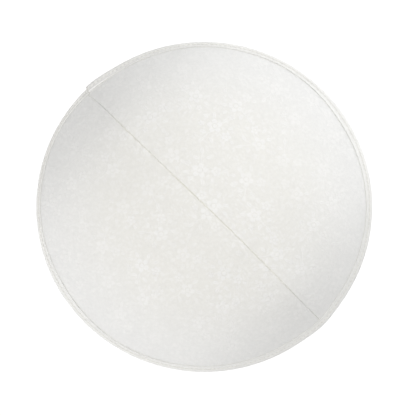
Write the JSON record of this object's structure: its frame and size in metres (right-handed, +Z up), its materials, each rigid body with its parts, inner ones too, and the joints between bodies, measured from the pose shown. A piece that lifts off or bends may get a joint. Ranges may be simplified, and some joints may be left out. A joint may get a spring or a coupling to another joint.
{
  "type": "kippah skullcap",
  "caption": "Shallow round skullcap of white figured cloth, its crown in panels joined along a seam, its rim bound with a narrow folded strip.",
  "frame": {"origin": "middle of the rim, on the surface that the rim rests on", "axes": "+Z up through the crown's peak; +X and +Y to the right and up in the picture, with the seam from -X+Y to +X-Y"},
  "size_m": [0.1818, 0.1786, 0.038],
  "materials": {
    "figured_cloth": "white figured weave with a soft satin sheen on the flowers and leaves",
    "binding_cloth": "plain white satin weave, folded and stitched"
  },
  "bodies": {
    "root": {"crown_panel_left": "figured_cloth", "crown_panel_right": "figured_cloth", "rim_binding": "binding_cloth"}
  },
  "joints": []
}
